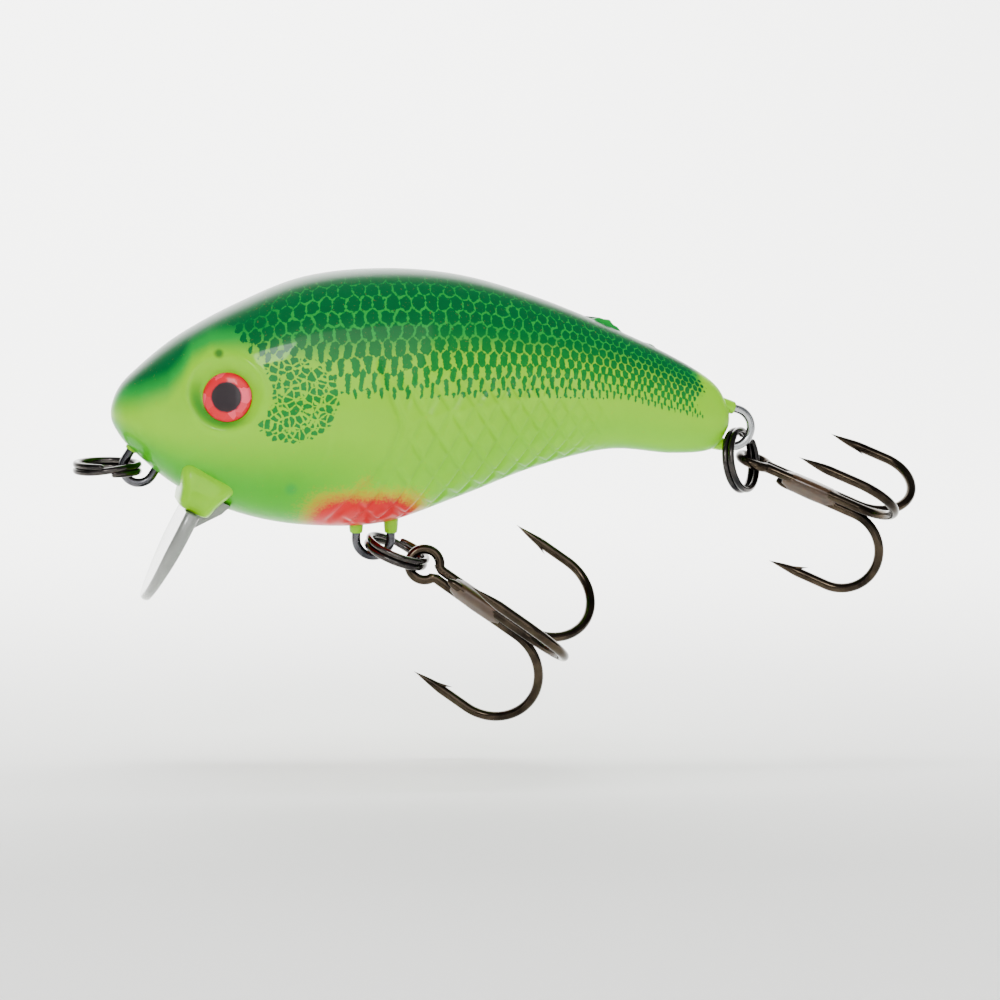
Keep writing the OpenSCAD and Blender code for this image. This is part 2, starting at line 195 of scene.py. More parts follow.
def maths(tree, operation, *values):
    """One step of arithmetic."""
    return put(tree, "ShaderNodeMath", values, operation=operation)


def painted(tree, name, out=2):
    """What the mesh carries under a name: a mask, or with out=0 a colour."""
    return put(tree, "ShaderNodeAttribute", out=out, attribute_name=name)


def grain(tree, mm_vector, size, strength, distance):
    """Bump from noise whose lumps are size millimetres wide."""
    lumps = noise(tree, mm_vector, 1 / size, 3.0)
    return put(tree, "ShaderNodeBump", {"Strength": strength, "Distance": distance, "Height": lumps})


# ---------------------------------------------------------------- materials

def clear_coated_paint():
    """Airbrushed lacquer under a thick clear coat: a net of dark cells, and orange peel in the gloss."""
    look = bpy.context.scene.lure_paint

    def net_cells(tree, mm_vector, rough_edge):
        """Six-sided cells on the scale lattice, cut narrower towards the flank."""
        u = put(tree, "ShaderNodeSeparateXYZ", [put(tree, "ShaderNodeUVMap", uv_map="scales")])
        v = u.node.outputs[1]
        sway = put(tree, "ShaderNodeSeparateXYZ", [noise(tree, mm_vector, 0.55, out=1)])
        u = maths(tree, "MULTIPLY_ADD", sway, 0.8, u)
        v = maths(tree, "MULTIPLY_ADD", sway.node.outputs[1], 0.7, v)
        place = put(tree, "ShaderNodeCombineXYZ", [u, v])
        shifted = put(tree, "ShaderNodeVectorMath", [place, (0.5, HEX_ROW, 0)], operation="SUBTRACT")
        even, odd = (put(tree, "ShaderNodeVectorMath", [at, (0.5, HEX_ROW, 1), (-0.5, -HEX_ROW, -1)],
                         operation="WRAP") for at in (place, shifted))
        lengths = [put(tree, "ShaderNodeVectorMath", [at], out=1, operation="LENGTH") for at in (even, odd)]
        near_odd = maths(tree, "GREATER_THAN", *lengths)
        inside = put(tree, "ShaderNodeMix", {0: near_odd, 4: even, 5: odd}, out=1, data_type="VECTOR")
        inside = put(tree, "ShaderNodeVectorMath", [inside], operation="ABSOLUTE")
        across = put(tree, "ShaderNodeSeparateXYZ", [inside])
        slanted = put(tree, "ShaderNodeVectorMath", [inside, (0.5, HEX_ROW, 0)], out=1,
                      operation="DOT_PRODUCT")
        across = maths(tree, "MULTIPLY_ADD", rough_edge, 0.34, across)
        slanted = maths(tree, "MULTIPLY_ADD", rough_edge, 0.34, slanted)
        across = maths(tree, "SUBTRACT", painted(tree, "narrow"), across)
        slanted = maths(tree, "SUBTRACT", painted(tree, "net"), slanted)
        return ranged(tree, maths(tree, "MINIMUM", across, slanted), -0.02, 0.035)

    def cheek_blobs(tree, mm_vector, rough_edge):
        """Irregular blobs behind the eye."""
        blobs = put(tree, "ShaderNodeTexVoronoi", {"Vector": mm_vector, "Scale": 1.5},
                    feature="DISTANCE_TO_EDGE")
        blobs = maths(tree, "MULTIPLY_ADD", rough_edge, 0.34, blobs)
        blobs = maths(tree, "SUBTRACT", blobs, painted(tree, "cheek"))
        return ranged(tree, blobs, -0.02, 0.03)

    def build(tree, mm_vector):
        rough_edge = maths(tree, "SUBTRACT", noise(tree, mm_vector, 3.2), 0.5)
        dark = maths(tree, "MAXIMUM", net_cells(tree, mm_vector, rough_edge),
                     cheek_blobs(tree, mm_vector, rough_edge))
        colour = mixed(tree, dark, painted(tree, "base", out=0), painted(tree, "deep", out=0))
        speckle = maths(tree, "SUBTRACT", noise(tree, mm_vector, 4.5), 0.5)
        belly = maths(tree, "MULTIPLY_ADD", speckle, 0.55, painted(tree, "belly"))
        belly = ranged(tree, belly, 0.08, 0.8)
        flash = mixed(tree, ranged(tree, belly, 0.25, 0.85), linear("#EE6A10"), (*look.belly_red, 1))
        colour = mixed(tree, belly, colour, flash)
        mottle = ranged(tree, noise(tree, mm_vector, 0.25), to=(0.93, 1.06))
        colour = put(tree, "ShaderNodeVectorMath", {0: colour, "Scale": mottle}, operation="SCALE")
        peel = grain(tree, mm_vector, 0.9, 0.06, 0.00005)
        return {"Base Color": colour, "Normal": peel, "Coat Normal": peel}

    finish = {"Roughness": look.base_roughness, "IOR": 1.45, "Specular IOR Level": 0.12, "Coat Weight": 0.22,
              "Coat Roughness": 0.05, "Coat IOR": 1.45}
    return surface("clear coated airbrush paint", finish, build)


def smoky_polycarbonate():
    """Moulded clear plastic gone smoky: dim to look through, with flow lines and a soft edge gloss."""
    def build(tree, mm_vector):
        haze = noise(tree, mm_vector, 0.35, 4.0, Distortion=0.6)
        colour = mixed(tree, haze, linear("#9DA19C"), linear("#6B6F68"))
        rough = ranged(tree, haze, to=(0.16, 0.34))
        return {"Base Color": colour, "Roughness": rough, "Normal": grain(tree, mm_vector, 1.6, 0.25, 0.0002)}

    finish = {"IOR": 1.58, "Transmission Weight": 0.18, "Coat Weight": 0.7, "Coat Roughness": 0.06}
    return surface("smoky clear polycarbonate", finish, build)


def drawn_wire(name, light, dark, roughness, wear):
    """Drawn and plated wire: metallic, with fine draw marks and plating that thins to a warmer tone."""
    def build(tree, mm_vector):
        patch = ranged(tree, noise(tree, mm_vector, 0.35, 4.0), 0.5 - wear, 0.5 + wear)
        colour = mixed(tree, patch, linear(dark), linear(light))
        rough = ranged(tree, noise(tree, mm_vector, 6.0, 3.0), to=(roughness * 0.7, roughness * 1.5))
        draw_marks = grain(tree, mm_vector, 0.12, 0.12, 0.00002)
        return {"Base Color": colour, "Roughness": rough, "Normal": draw_marks}

    return surface(name, {"Metallic": 1.0}, build)


def lacquered_braze():
    """Brown lacquer over silver braze: half gloss, its brown lighter and darker at random, with small runs.
    """
    def build(tree, mm_vector):
        colour = mixed(tree, noise(tree, mm_vector, 0.9, 3.0), linear("#24160A"), linear("#4E3212"))
        return {"Base Color": colour, "Normal": grain(tree, mm_vector, 0.5, 0.3, 0.00006)}

    finish = {"Metallic": 0.2, "Roughness": 0.32, "Coat Weight": 0.4, "Coat Roughness": 0.08}
    return surface("lacquered braze", finish, build)


def foil_eye(side):
    """Printed foil disc under a drop of lacquer: a matt dark pupil and a red ring of crushed foil whose
    lighter pink facet patches are painted glints.
    """
    seat = (EYE_SEAT[0], side * EYE_SEAT[1], EYE_SEAT[2])

    def build(tree, mm_vector):
        offset = put(tree, "ShaderNodeVectorMath", [mm_vector, seat], operation="SUBTRACT")
        radius = put(tree, "ShaderNodeVectorMath", [offset], out=1, operation="LENGTH")
        radius = maths(tree, "MULTIPLY_ADD", noise(tree, mm_vector, 2.2), 0.16, radius)
        # Crushed foil facet pattern: the lighter pink facet patches are painted glints, colour that stands in
        # for light caught by the foil.
        facet_glints = put(tree, "ShaderNodeTexVoronoi", {"Vector": mm_vector, "Scale": 1.1}, out=1)
        facet_glints = ranged(tree, put(tree, "ShaderNodeSeparateXYZ", [facet_glints]), 0.55, 0.95)
        ring = mixed(tree, facet_glints, linear("#D80420"), linear("#F8506A"))
        colour = mixed(tree, ranged(tree, radius, 1.36, 1.5), linear("#2A2226"), ring)
        colour = mixed(tree, ranged(tree, radius, 2.26, 2.34), colour, linear("#A01028"))
        return {"Base Color": colour, "Normal": grain(tree, mm_vector, 0.5, 0.15, 0.00005)}

    finish = {"Roughness": 0.5, "Metallic": 0.1, "Specular IOR Level": 0.2, "Coat Weight": 0.25,
              "Coat Roughness": 0.08}
    return surface("foil eye " + ("right" if side > 0 else "left"), finish, build)


# ---------------------------------------------------------------- mesh helpers

def mesh_object(name, points, faces, material, smooth=True):
    """An object at the origin from points in millimetres."""
    mesh = bpy.data.meshes.new(name)
    mesh.from_pydata((np.asarray(points, dtype=float) * MM).tolist(), [], faces)
    mesh.materials.append(material)
    mesh.polygons.foreach_set("use_smooth", [smooth] * len(mesh.polygons))
    mesh.update()
    made = bpy.data.objects.new(name, mesh)
    bpy.context.scene.collection.objects.link(made)
    return made


def tidy(piece, merge=0.002 * MM):
    """Close seams and poles, and point the faces outwards."""
    mesh = bmesh.new()
    mesh.from_mesh(piece.data)
    bmesh.ops.remove_doubles(mesh, verts=mesh.verts, dist=merge)
    bmesh.ops.dissolve_degenerate(mesh, edges=mesh.edges, dist=merge)
    bmesh.ops.recalc_face_normals(mesh, faces=mesh.faces)
    mesh.to_mesh(piece.data)
    mesh.free()


def skin(rows, columns, capped=True):
    """Faces over rows of points that each go once round, with both ends closed if capped."""
    faces = []
    for i in range(rows - 1):
        for k in range(columns):
            p, q = i * columns + k, i * columns + (k + 1) % columns
            faces.append((p, q, q + columns, p + columns))
    if capped:
        faces.append(tuple(range(columns))[::-1])
        faces.append(tuple(range((rows - 1) * columns, rows * columns)))
    return faces


def turned(angles):
    """The rotation that the frame's rotate([x, y, z]) makes, angles in degrees."""
    x, y, z = (math.radians(a) for a in angles)
    return Matrix.Rotation(z, 4, "Z") @ Matrix.Rotation(y, 4, "Y") @ Matrix.Rotation(x, 4, "X")


def moved(points, matrix):
    """Points in millimetres, moved by a 4x4 matrix whose place is in millimetres too."""
    m = np.array(matrix)
    return np.asarray(points) @ m[:3, :3].T + m[:3, 3]


def smooth_step(low, high, value):
    """0 below low, 1 above high, smooth between."""
    f = np.clip((value - low) / (high - low), 0, 1)
    return f * f * (3 - 2 * f)


# ---------------------------------------------------------------- body shape

def between(padded, i, f):
    """Points of a smooth curve through padded points: f of the way from point i to the next."""
    a, b, c, d = (padded[i + k] for k in range(4))
    cubic = 3 * b - a - 3 * c + d
    return 0.5 * (2 * b + (c - a) * f + (2 * a - 5 * b + 4 * c - d) * f ** 2 + cubic * f ** 3)


def body_at(t):
    """Place, back, belly and half width at any point along the body lines."""
    ends = BODY_LINES[[1, -2]][:, [0, 2, 1, 3]] * [1, 1, 1, -1]
    lines = np.vstack([ends[:1], BODY_LINES, ends[1:]])
    i = np.clip(np.floor(t).astype(int), 0, len(BODY_LINES) - 2)
    return between(lines, i, (t - i)[:, None])


def even_stations(count):
    """Stations spread evenly over the length of the back line."""
    t = np.linspace(0, len(BODY_LINES) - 1, 4000)
    line = body_at(t)
    forward, back, belly = (np.abs(np.diff(line[:, k])) for k in range(3))
    steps = np.hypot(forward, np.maximum(back, belly))
    along = np.concatenate([[0], np.cumsum(steps)])
    return np.interp(np.linspace(0, along[-1], count), along, t)


def sections(t, inset, count):
    """Rows of half sections on the +Y side, from back to belly."""
    line = body_at(t)
    angle = np.linspace(0, math.pi, count)
    lift = np.sign(np.cos(angle)) * np.abs(np.cos(angle)) ** FULLNESS
    spread = np.abs(np.sin(angle)) ** FULLNESS
    spread[[0, -1]] = 0
    middle, tall = (line[:, 1] + line[:, 2]) / 2, (line[:, 1] - line[:, 2]) / 2 - inset
    wide = line[:, 3] - inset
    grid = np.empty((len(t), count, 3))
    grid[..., 0] = line[:, :1]
    grid[..., 1] = wide[:, None] * spread
    grid[..., 2] = middle[:, None] + tall[:, None] * lift
    return grid


def scale_lattice(grid):
    """Lattice coordinates of the scales: they shrink towards the tail as the body does."""
    tall = grid[:, 0, 2] - grid[:, -1, 2]
    pitch = SCALE_PITCH * np.clip(tall / BACK_HEIGHT, 0.15, 1) ** 0.75
    x = grid[:, 0, 0]
    along = np.concatenate([[0], np.cumsum(np.abs(np.diff(x)) / ((pitch[1:] + pitch[:-1]) / 2))])
    step = np.linalg.norm(np.diff(grid, axis=1), axis=2)
    arc = np.concatenate([np.zeros((len(grid), 1)), np.cumsum(step, axis=1)], axis=1)
    down = arc / np.maximum(arc[:, -1:], 1e-6)
    return np.repeat(along[:, None], grid.shape[1], axis=1), down * SCALE_ROWS, down


def line_distance(x, z, line):
    """Distance from each point to a polyline, and on which side of it the point lies."""
    best = np.full(x.shape, 1e9)
    side = np.zeros(x.shape)
    for (x0, z0), (x1, z1) in zip(line, line[1:]):
        dx, dz = x1 - x0, z1 - z0
        f = np.clip(((x - x0) * dx + (z - z0) * dz) / (dx * dx + dz * dz), 0, 1)
        gap = np.hypot(x - x0 - f * dx, z - z0 - f * dz)
        turn = np.sign(dx * (z - z0) - dz * (x - x0))
        side = np.where(gap < best, turn, side)
        best = np.minimum(best, gap)
    return best, side


def curve(points, count):
    """A smooth line through a few points."""
    points = np.array(points, dtype=float)
    t = np.linspace(0, len(points) - 1, count)
    padded = np.vstack([2 * points[0] - points[1], points, 2 * points[-1] - points[-2]])
    i = np.clip(np.floor(t).astype(int), 0, len(points) - 2)
    return between(padded, i, (t - i)[:, None])


def relief(grid, u, v, down):
    """Height of the moulded detail over the plain surface, in millimetres."""
    x, z = grid[..., 0], grid[..., 2]
    gill, side = line_distance(x, z, curve(GILL_LINE, 40))
    height = -0.26 * np.exp(-(gill / 0.28) ** 2)
    behind = smooth_step(0.3, 1.6, gill) * (side > 0)
    on_flank = smooth_step(0.44, 0.50, down) * (1 - smooth_step(0.90, 0.96, down))
    before_tail = 1 - smooth_step(36, 44, x)
    across, along = (u + 0.8 * v) / 2.1, (u - 0.8 * v) / 2.1
    diamond = np.minimum(np.abs(np.sin(math.pi * across)), np.abs(np.sin(math.pi * along)))
    height += 0.26 * behind * on_flank * before_tail * (np.minimum(diamond, 0.55) / 0.55 - 1)
    crease = line_distance(x, z, CREASE_LINE)[0]
    height += 0.18 * np.exp(-(crease / 0.35) ** 2) * (0.6 + 0.4 * np.cos(math.pi * u)) * behind
    cheek_arc = line_distance(x, z, curve(CHEEK_ARC, 20))[0]
    height -= 0.05 * np.exp(-(cheek_arc / 0.3) ** 2)
    eye = np.hypot(x - EYE_CENTRE[0], z - EYE_CENTRE[1])
    height -= 0.62 * (1 - smooth_step(2.1, 3.3, eye))
    height += 0.10 * np.exp(-((eye - 3.45) / 0.3) ** 2)
    top = 1 - smooth_step(0.02, 0.05, down)
    for place, size, rise in BACK_NUBS:
        height += rise * top * np.exp(-((x - place) / size) ** 4)
    return height


def surface_normals(grid):
    """Outward normals of the rows of points."""
    along = np.gradient(grid, axis=0)
    around = np.gradient(grid, axis=1)
    normal = np.cross(around, along)
    size = np.linalg.norm(normal, axis=2, keepdims=True)
    normal = np.where(size > 1e-9, normal / np.maximum(size, 1e-9), [0, 0, 1])
    outward = np.sign((normal * (grid - grid.mean(axis=1, keepdims=True))).sum(axis=2, keepdims=True))
    return normal * np.where(outward == 0, 1, outward)


def airbrush(grid, down):
    """Colours and masks of the airbrushed coats at each point of the shell."""
    look = bpy.context.scene.lure_paint
    x, z = grid[..., 0], grid[..., 2]

    def blend(a, b, f):
        return a + (b - a) * f[..., None]

    back, emerald = np.array(look.back_green), np.array(look.side_green)
    chartreuse, chin = np.array(look.flank), np.array(look.belly_green)
    edge = np.interp(x, *BACK_EDGE)
    soft = np.interp(x, *BACK_SOFTNESS)
    base = blend(emerald * 0.95, emerald, smooth_step(0.02, 0.20, down))
    base = blend(base, back, 1 - smooth_step(0.06, 0.22, down))
    base = blend(chartreuse, base, smooth_step(-soft, soft, z - edge))
    base = blend(base, chartreuse, smooth_step(50.8, 51.9, x))
    base = blend(base, chin, smooth_step(0.56, 0.78, down) * (1 - 0.75 * smooth_step(12, 24, x)))
    base = blend(base, chin, 0.8 * smooth_step(0.80, 0.97, down))
    eye = np.hypot(x - EYE_CENTRE[0], z - EYE_CENTRE[1])
    low_front = ((EYE_CENTRE[0] - x) * 0.55 + (EYE_CENTRE[1] - z) * 0.83) / np.maximum(eye, 0.1)
    low_front = smooth_step(-0.2, 0.9, low_front)
    base = blend(base, chartreuse, (1 - smooth_step(3.1, 3.5, eye)) * (1 - low_front))
    eye_shade = low_front * smooth_step(1.9, 2.5, eye) * (1 - smooth_step(2.7, 3.4, eye))
    base = blend(base, emerald * 0.7, 0.8 * eye_shade)
    base = blend(base, back, 0.8 * (1 - smooth_step(0.2, 0.55, np.hypot(x - 6.9, z - 10.4))))
    nub = np.exp(-((x - 42.6) / 1.3) ** 4) * (1 - smooth_step(0.03, 0.07, down))
    base = blend(base, emerald, 0.9 * nub)
    spot = np.hypot(x - 13.3, z + 1.6)
    base = blend(base, emerald, 0.55 * (1 - smooth_step(0.2, 0.8, spot)))
    deep = blend(back, emerald * 0.62, smooth_step(0.22, 0.46, down))
    deep = blend(deep, emerald, 0.9 * nub)

    crown = (1 - smooth_step(7, 15, x)) * smooth_step(0.6, 2.4, z - edge)
    base = blend(base, deep, crown)

    low = np.interp(x, *NET_LOW)
    high = np.interp(x, *NET_HIGH)
    clear_eye = smooth_step(3.6, 4.2, eye)
    zone = clear_eye * smooth_step(8.0, 10.0, x + (z - 11) * 0.7)
    zone *= 1 - smooth_step(50.7, 52.3, x + 0.5 * np.sin(2.3 * z))
    zone *= smooth_step(low - 0.3, low + 0.3, z)
    rise = np.clip((z - low) / (high - low), 0, 1.3)
    narrow = np.interp(rise, *CELL_WIDTH)
    net = np.interp(rise, *CELL_HEIGHT)
    cheek_area = (((x - CHEEK_PATCH[0]) / CHEEK_REACH[0]) ** 2
                  + ((z - CHEEK_PATCH[1]) / CHEEK_REACH[1]) ** 2)
    zone *= smooth_step(0.7, 1.0, cheek_area)
    net, narrow = net - 0.8 * (1 - zone), narrow - 0.5 * (1 - zone)
    cheek = 0.09 + 0.5 * smooth_step(0.8, 1.1, cheek_area) + 0.6 * (1 - clear_eye)
    belly = 1.3 * np.exp(-((x - 20.3) / 5.2) ** 4) * smooth_step(-0.6, -4.7, z)
    streak = line_distance(x, z, FLASH_STREAK)[0]
    belly = np.maximum(belly, 0.26 * np.exp(-(streak / 0.8) ** 2))
    return base, deep, {"net": net, "narrow": narrow, "cheek": cheek, "belly": belly}


def shell_half(name, side, paint):
    """One moulded half shell with its relief, a wall inside and a flat parting edge."""
    t = even_stations(ROW_COUNT)
    grid = sections(t, 0, SIDE_COUNT)
    u, v, down = scale_lattice(grid)
    base, deep, masks = airbrush(grid, down)
    outer = grid + surface_normals(grid) * relief(grid, u, v, down)[..., None]
    outer[:, [0, -1], 1] = 0
    outer[0], outer[-1] = grid[0], grid[-1]
    inner = sections(np.linspace(*CAVITY, ROW_COUNT), WALL, INNER_COUNT)
    for end in (0, -1):
        inner[end] = inner[end].mean(axis=0) * [1, 0, 1]
    points = np.vstack([outer.reshape(-1, 3), inner.reshape(-1, 3)]) * [1, side, 1]
    start = outer.shape[0] * SIDE_COUNT
    faces = []
    for first, columns, flip in [(0, SIDE_COUNT, False), (start, INNER_COUNT, True)]:
        for i in range(ROW_COUNT - 1):
            for k in range(columns - 1):
                p = first + i * columns + k
                quad = (p, p + 1, p + columns + 1, p + columns)
                faces.append(quad[::-1] if flip == (side < 0) else quad)
    for i in range(ROW_COUNT - 1):
        for out, into in [(0, 0), (SIDE_COUNT - 1, INNER_COUNT - 1)]:
            p, q = i * SIDE_COUNT + out, start + i * INNER_COUNT + into
            faces.append((p, p + SIDE_COUNT, q + INNER_COUNT, q))
    shell = mesh_object(name, points, faces, paint)
    count = len(points)

    def attribute(label, kind, values):
        layer = shell.data.attributes.new(label, kind, "POINT")
        key = "color" if kind == "FLOAT_COLOR" else "value"
        layer.data.foreach_set(key, values.astype(np.float32).ravel())

    for label, colour in [("base", base), ("deep", deep)]:
        full = np.ones((count, 4))
        full[:start, :3] = colour.reshape(-1, 3)
        attribute(label, "FLOAT_COLOR", full)
    for label, mask in masks.items():
        full = np.zeros(count)
        full[:start] = mask.ravel()
        attribute(label, "FLOAT", full)
    lattice = np.zeros((count, 2))
    lattice[:start, 0], lattice[:start, 1] = u.ravel(), v.ravel()
    layer = shell.data.uv_layers.new(name="scales")
    corner = np.empty(len(shell.data.loops), dtype=np.int32)
    shell.data.loops.foreach_get("vertex_index", corner)
    layer.data.foreach_set("uv", lattice[corner].astype(np.float32).ravel())
    tidy(shell)
    return shell


def lip_frame():
    """Where the lip lies: X runs out along it, Y across it."""
    return Matrix.Translation(Vector(LIP_ROOT)) @ Matrix.Rotation(LIP_TURN, 4, "Y")


def chin_boss(paint):
    """Boss round the root of the lip: rounded boxes that widen towards the chin."""
    angle = 2 * np.pi * np.arange(BOSS_COLUMNS) / BOSS_COLUMNS
    across, through = (np.copysign(np.abs(wave) ** BOSS_SQUARENESS, wave) for wave in
                       (np.cos(angle), np.sin(angle)))
    rings = [np.stack([np.full(BOSS_COLUMNS, along), wide * across, thick * through], axis=1)
             for along, wide, thick in BOSS_PROFILE]
    faces = skin(len(rings), BOSS_COLUMNS)
    boss = mesh_object("boss", moved(np.vstack(rings), lip_frame()), faces, paint)
    tidy(boss)
    return boss


def collars(paint):
    """The short collars that the hanger legs come out of."""
    turn = np.linspace(0, 2 * math.pi, COLLAR_COLUMNS + 1)[:-1]
    faces = skin(len(COLLAR_PROFILE), COLLAR_COLUMNS)
    pieces = []
    for place, angle, loop_r, start in HANGERS:
        frame_of = Matrix.Translation(Vector(place)) @ Matrix.Rotation(-math.radians(angle), 4, "Y")
        for side in (-1, 1):
            rings = [np.stack([np.full(COLLAR_COLUMNS, start + along + 0.02), radius * np.cos(turn),
                               side * loop_r + radius * np.sin(turn)], axis=1)
                     for along, radius in COLLAR_PROFILE]
            collar = mesh_object("collar", moved(np.vstack(rings), frame_of), faces, paint)
            tidy(collar)
            pieces.append(collar)
    return pieces


def paint_plain(piece, colour):
    """Fill in the paint attributes on a piece that has no pattern."""
    mesh = piece.data
    for label, value in [("base", (*colour, 1)), ("deep", (*colour, 1)), ("net", -0.3), ("narrow", 0.2),
                         ("cheek", 1.2), ("belly", 0.0)]:
        kind, key = ("FLOAT", "value") if isinstance(value, float) else ("FLOAT_COLOR", "color")
        layer = mesh.attributes.new(label, kind, "POINT")
        layer.data.foreach_set(key, np.tile(value, len(mesh.vertices)).astype(np.float32))
    mesh.uv_layers.new(name="scales")


def joined(name, pieces):
    """Join pieces into the first one, keep every attribute, and name the result."""
    with bpy.context.temp_override(active_object=pieces[0], object=pieces[0], selected_objects=pieces,
                                   selected_editable_objects=pieces):
        bpy.ops.object.join()
    pieces[0].name = name
    return pieces[0]


# ---------------------------------------------------------------- geometry nodes

def group(name, inputs):
    """A geometry node tree with named inputs, and its input and output nodes."""
    tree = bpy.data.node_groups.new(name, "GeometryNodeTree")
    tree.interface.new_socket("Geometry", in_out="INPUT", socket_type="NodeSocketGeometry")
    for label, kind, default in inputs:
        made = tree.interface.new_socket(label, in_out="INPUT", socket_type="NodeSocket" + kind)
        if default is not None:
            made.default_value = default
    tree.interface.new_socket("Geometry", in_out="OUTPUT", socket_type="NodeSocketGeometry")
    return tree, tree.nodes.new("NodeGroupInput"), tree.nodes.new("NodeGroupOutput")


def wire_sweep():
    """Sweep a round wire along the curve, its thickness taken from the curve's own radius."""
    if "wire sweep" in bpy.data.node_groups:
        return bpy.data.node_groups["wire sweep"]
    tree, given, result = group("wire sweep", [
        ("Wire radius", "Float", 0.0004), ("Sides", "Int", 24), ("Copies", "Int", 1),
        ("Pitch", "Float", 0.0), ("Material", "Material", None)])
    profile = put(tree, "GeometryNodeCurvePrimitiveCircle",
                  {"Resolution": given.outputs["Sides"], "Radius": given.outputs["Wire radius"]})
    scale = put(tree, "GeometryNodeInputNamedAttribute", {"Name": "radius"}, data_type="FLOAT")
    swept = put(tree, "GeometryNodeCurveToMesh",
                {"Curve": given.outputs["Geometry"], "Profile Curve": profile, "Scale": scale,
                 "Fill Caps": True})
    line = put(tree, "GeometryNodeMeshLine", {"Count": given.outputs["Copies"], "Offset": (0.0, 0.0, 0.0)})
    index = put(tree, "GeometryNodeInputIndex")
    angle = put(tree, "ShaderNodeMath", [index, given.outputs["Pitch"]], operation="MULTIPLY")
    turn = put(tree, "ShaderNodeCombineXYZ", [angle, None, None])
    turn = put(tree, "FunctionNodeEulerToRotation", [turn])
    copies = put(tree, "GeometryNodeInstanceOnPoints", {"Points": line, "Instance": swept, "Rotation": turn})
    real = put(tree, "GeometryNodeRealizeInstances", [copies])
    shaded = put(tree, "GeometryNodeSetShadeSmooth", {"Geometry": real})
    finished = put(tree, "GeometryNodeSetMaterial",
                   {"Geometry": shaded, "Material": given.outputs["Material"]})
    tree.links.new(finished, result.inputs[0])
    return tree


def swept_wire(name, points, radii, wire_r, material, matrix=Matrix.Identity(4), closed=False, copies=1,
               sides=24):
    """A wire along points in millimetres, made by the sweep and turned into a plain mesh."""
    line = bpy.data.curves.new(name, "CURVE")
    line.dimensions = "3D"
    spline = line.splines.new("POLY")
    spline.points.add(len(points) - 1)
    spline.points.foreach_set("co", np.hstack([np.asarray(points) * MM, np.ones((len(points), 1))]).ravel())
    spline.points.foreach_set("radius", np.broadcast_to(radii, len(points)).astype(np.float32))
    spline.use_cyclic_u = closed
    source = bpy.data.objects.new(name + " path", line)
    bpy.context.scene.collection.objects.link(source)
    tree = wire_sweep()
    modifier = source.modifiers.new("sweep", "NODES")
    modifier.node_group = tree
    sockets = {item.name: item.identifier for item in tree.interface.items_tree if item.in_out == "INPUT"}
    modifier[sockets["Wire radius"]] = wire_r * MM
    modifier[sockets["Sides"]] = sides
    modifier[sockets["Copies"]] = copies
    modifier[sockets["Pitch"]] = 2 * math.pi / 3
    modifier[sockets["Material"]] = material
    source.update_tag()
    bpy.context.view_layer.update()
    depsgraph = bpy.context.evaluated_depsgraph_get()
    mesh = bpy.data.meshes.new_from_object(source.evaluated_get(depsgraph), depsgraph=depsgraph)
    bpy.data.objects.remove(source)
    if not len(mesh.polygons):
        raise RuntimeError(name + ": the sweep gave no faces")
    place = matrix.copy()
    place.translation = matrix.translation * MM
    mesh.transform(place)
    piece = bpy.data.objects.new(name, mesh)
    bpy.context.scene.collection.objects.link(piece)
    tidy(piece)
    return piece


def arc(centre, radius, start, end, count):
    """Points of an arc in the XZ plane, angles in degrees from +X towards +Z."""
    a = np.radians(np.linspace(start, end, count))
    return np.stack([centre[0] + radius * np.cos(a), np.zeros(count), centre[1] + radius * np.sin(a)], axis=1)


# ---------------------------------------------------------------- rings and hooks

def split_ring(name, material):
    """Two coils of wire wound round each other: the crossover joins one coil to the next."""
    _, place, angles, split_at = RINGS[name]
    turn = np.linspace(0, 4 * math.pi, 289)
    lift = COIL_LIFT * np.tanh((turn / (2 * math.pi) - 1) * 9)
    around = turn + math.radians(split_at + 3)
    points = np.stack([RING_R + RING_R * np.cos(around), RING_R * np.sin(around), lift], axis=1)
    points = points[(turn > 0.05) & (turn < 4 * math.pi - 0.16)]
    radii = np.ones(len(points))
    radii[:2] = [0.55, 0.9]
    radii[-2:] = [0.9, 0.6]
    return swept_wire(name, points, radii, RING_WIRE_R, material,
                      Matrix.Translation(Vector(place)) @ turned(angles), sides=20)


def hook_place(name):
    """Where a hook lies in the frame: the eye's centre and the turn of its shank."""
    ring, ring_angle, angles, _ = HOOKS[name]
    _, ring_place, ring_turn, _ = RINGS[ring]
    a = math.radians(ring_angle)
    on_ring = Vector((RING_R * (1 + math.cos(a)), RING_R * math.sin(a), 0))
    contact = Vector(ring_place) + turned(ring_turn) @ on_ring
    centre = contact + turned(angles) @ Vector((HOOK_SLACK, 0, 0))
    return Matrix.Translation(centre) @ turned(angles)


def hook_arm(start, bend_r):
    """Path and thickness of one arm: shank, bend, spear and needle point, in the XZ plane."""
    needle_start = SHANK_END - SPEAR_LENGTH + NEEDLE
    shank = np.stack([np.linspace(start, SHANK_END, 24)[:-1], np.zeros(23), np.zeros(23)], axis=1)
    bend = arc((SHANK_END, bend_r), bend_r, -90, 90, 40)
    spear = np.stack([np.linspace(SHANK_END, needle_start, 8)[1:], np.zeros(7), np.full(7, 2 * bend_r)],
                     axis=1)
    f = np.linspace(0, 1, 18)[1:]
    point = np.stack([needle_start - NEEDLE * f, np.zeros(17), 2 * bend_r + 0.10 * f ** 2], axis=1)
    path = np.vstack([shank, bend, spear, point])
    radii = np.ones(len(path))
    radii[-17:] = np.maximum(1 - f ** 1.35, 0.04)
    return path, radii


def barb(bend_r):
    """Barb raised from the inner side of the spear: a short blade that leans back towards the bend."""
    base = SHANK_END - SPEAR_LENGTH + NEEDLE - 0.75
    f = np.linspace(0, 1, 9)
    path = np.stack([base + 1.45 * f, np.zeros(9), 2 * bend_r - 0.1 - 0.74 * f], axis=1)
    return path, np.maximum(1 - f, 0.04)


def along_x(angle):
    """Turn about the shank."""
    return Matrix.Rotation(math.radians(angle), 4, "X")


